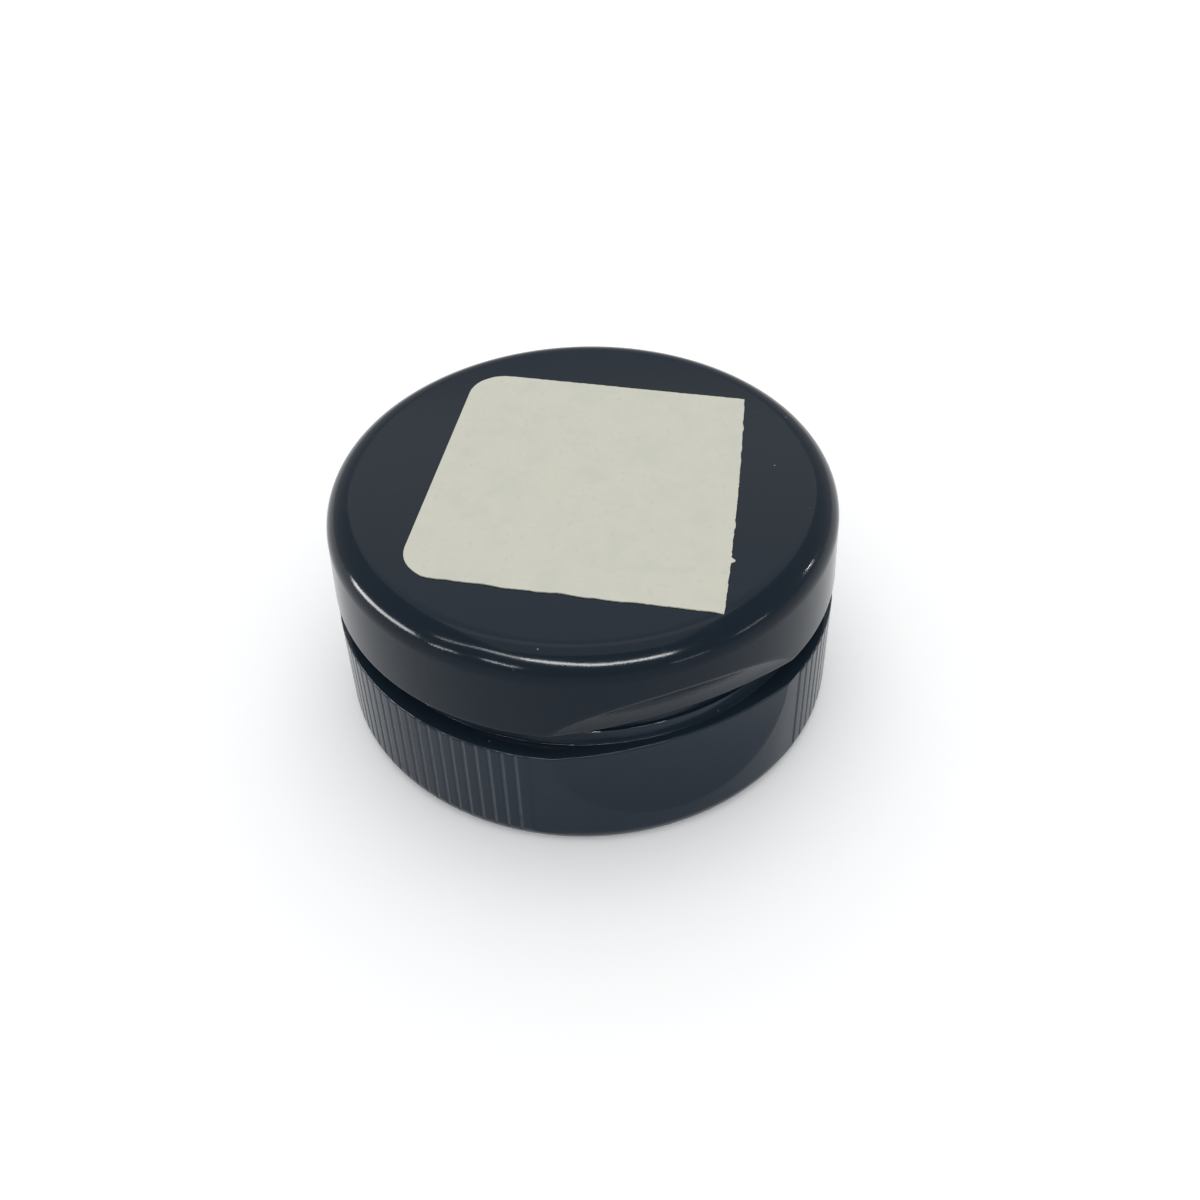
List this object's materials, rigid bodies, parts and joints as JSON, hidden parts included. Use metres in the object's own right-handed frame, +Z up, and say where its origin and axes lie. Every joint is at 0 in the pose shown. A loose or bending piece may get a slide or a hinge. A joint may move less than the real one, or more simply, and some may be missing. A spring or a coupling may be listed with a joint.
{
  "type": "flip top cap",
  "caption": "Round black screw cap with a ribbed skirt, a hinged flip-up lid over a pouring hole, a thumb scoop at the front and a paper sticker on the lid.",
  "frame": {"origin": "on the cap's axis at the rim of the skirt, the plane that the cap stands on", "axes": "+Z up along the cap's axis through the lid, -Y towards the thumb scoop, +Y towards the film hinge"},
  "size_m": [0.0424, 0.0434, 0.0206],
  "materials": {
    "black_plastic": "moulded, glossy",
    "label_paper": "matt uncoated sticker"
  },
  "bodies": {
    "base": {"cap_base": "black_plastic"},
    "lid": {"flip_lid": "black_plastic", "paper_label": "label_paper"}
  },
  "joints": [
    {"name": "lid_hinge", "type": "hinge", "parent": "base", "child": "lid", "pos_m": [0, 0.022, 0.0114], "axis": [-1, 0, 0], "range_deg": [0, 180]}
  ]
}
